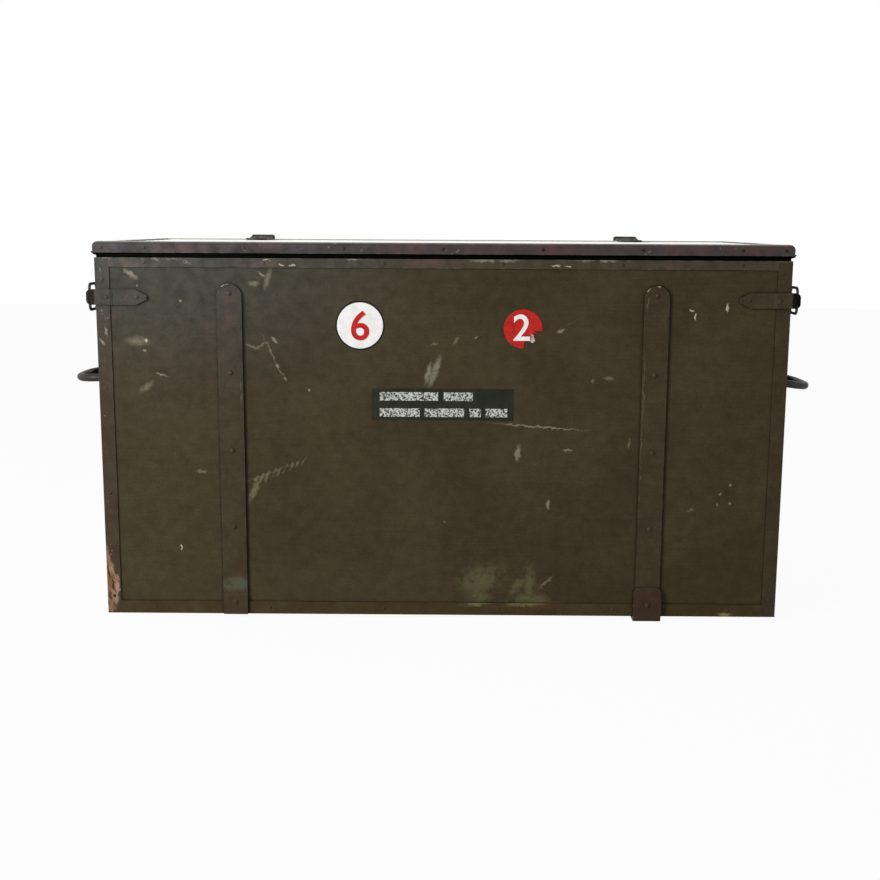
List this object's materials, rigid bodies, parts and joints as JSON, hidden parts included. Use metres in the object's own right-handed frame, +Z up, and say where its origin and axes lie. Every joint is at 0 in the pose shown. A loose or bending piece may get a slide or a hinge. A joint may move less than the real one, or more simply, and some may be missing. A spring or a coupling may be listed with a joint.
{
  "type": "military trunk",
  "caption": "Long steel-edged plywood army trunk with a flat hinged lid, riveted flat-bar straps, bail handles on the ends and tie rings at the upper corners",
  "frame": {"origin": "centre of the bounding box in plan, on the ground under the runners, lid shut and handles out", "axes": "+X to the viewer's right along the trunk's length, +Y from the front with the straps to the hinge side, +Z up"},
  "size_m": [0.981, 0.3669, 0.4755],
  "materials": {
    "painted_board": "matte",
    "painted_lid": "matte",
    "edge_steel": "satin",
    "lid_steel": "satin",
    "strap_steel": "satin",
    "runner_steel": "satin",
    "dark_steel": "satin",
    "rivet_steel": "satin",
    "raw_batten": "matte",
    "seal_rubber": "matte"
  },
  "bodies": {
    "trunk": {"back_panel": "painted_board", "body_nails": "rivet_steel", "corner_angle_back_left": "edge_steel", "corner_angle_back_right": "edge_steel", "corner_angle_front_left": "edge_steel", "corner_angle_front_right": "edge_steel", "corner_strap_back_left": "strap_steel", "corner_strap_back_right": "strap_steel", "corner_strap_front_left": "strap_steel", "corner_strap_front_right": "strap_steel", "corner_strap_screws": "rivet_steel", "floor_angle_back": "edge_steel", "floor_angle_front": "edge_steel", "floor_angle_left": "edge_steel", "floor_angle_right": "edge_steel", "floor_board": "painted_board", "front_panel": "painted_board", "front_strap_left": "strap_steel", "front_strap_right": "strap_steel", "handle_plate_left": "strap_steel", "handle_plate_right": "strap_steel", "handle_rivets": "rivet_steel", "hinge_pin_left": "dark_steel", "hinge_pin_right": "dark_steel", "hinge_rivets": "rivet_steel", "hinge_strap_left": "strap_steel", "hinge_strap_right": "strap_steel", "left_end_panel": "painted_board", "right_end_panel": "painted_board", "runner_left": "runner_steel", "runner_right": "runner_steel", "runner_rivets": "rivet_steel", "runner_screws": "rivet_steel", "strap_rivets": "rivet_steel", "top_angle_back": "edge_steel", "top_angle_front": "edge_steel", "top_angle_left": "edge_steel", "top_angle_right": "edge_steel"},
    "lid": {"lid_board": "painted_lid", "lid_seal": "seal_rubber", "lid_rim_front": "lid_steel", "lid_rim_back": "lid_steel", "lid_rim_left": "lid_steel", "lid_rim_right": "lid_steel", "lid_batten_front": "raw_batten", "lid_batten_back": "raw_batten", "lid_batten_left": "raw_batten", "lid_batten_right": "raw_batten", "hinge_leaf_left": "strap_steel", "hinge_leaf_right": "strap_steel", "leaf_rivets": "rivet_steel", "lid_nails": "rivet_steel", "batten_screws": "rivet_steel"},
    "handle_left": {"handle_left": "dark_steel"},
    "handle_right": {"handle_right": "dark_steel"},
    "tie_ring_front_left": {"tie_ring_front_left": "dark_steel"},
    "tie_ring_front_right": {"tie_ring_front_right": "dark_steel"},
    "tie_ring_back_left": {"tie_ring_back_left": "dark_steel"},
    "tie_ring_back_right": {"tie_ring_back_right": "dark_steel"}
  },
  "joints": [
    {"name": "lid_hinge", "type": "hinge", "parent": "trunk", "child": "lid", "pos_m": [0, 0.1694, 0.4705], "axis": [-1, 0, 0], "range_deg": [0, 104]},
    {"name": "handle_left_hinge", "type": "hinge", "parent": "trunk", "child": "handle_left", "pos_m": [-0.4288, -0.0056, 0.292], "axis": [0, -1, 0], "range_deg": [-4, 86]},
    {"name": "handle_right_hinge", "type": "hinge", "parent": "trunk", "child": "handle_right", "pos_m": [0.4288, -0.0056, 0.292], "axis": [0, 1, 0], "range_deg": [-10, 80]},
    {"name": "tie_ring_front_left_swing", "type": "hinge", "parent": "trunk", "child": "tie_ring_front_left", "pos_m": [-0.4275, -0.1736, 0.4025], "axis": [0, 0, 1], "range_deg": [0, 180]},
    {"name": "tie_ring_back_left_swing", "type": "hinge", "parent": "trunk", "child": "tie_ring_back_left", "pos_m": [-0.4275, 0.1624, 0.4025], "axis": [0, 0, -1], "range_deg": [0, 180]},
    {"name": "tie_ring_front_right_swing", "type": "hinge", "parent": "trunk", "child": "tie_ring_front_right", "pos_m": [0.4275, -0.1736, 0.4025], "axis": [0, 0, -1], "range_deg": [0, 180]},
    {"name": "tie_ring_back_right_swing", "type": "hinge", "parent": "trunk", "child": "tie_ring_back_right", "pos_m": [0.4275, 0.1624, 0.4025], "axis": [0, 0, 1], "range_deg": [0, 180]}
  ]
}
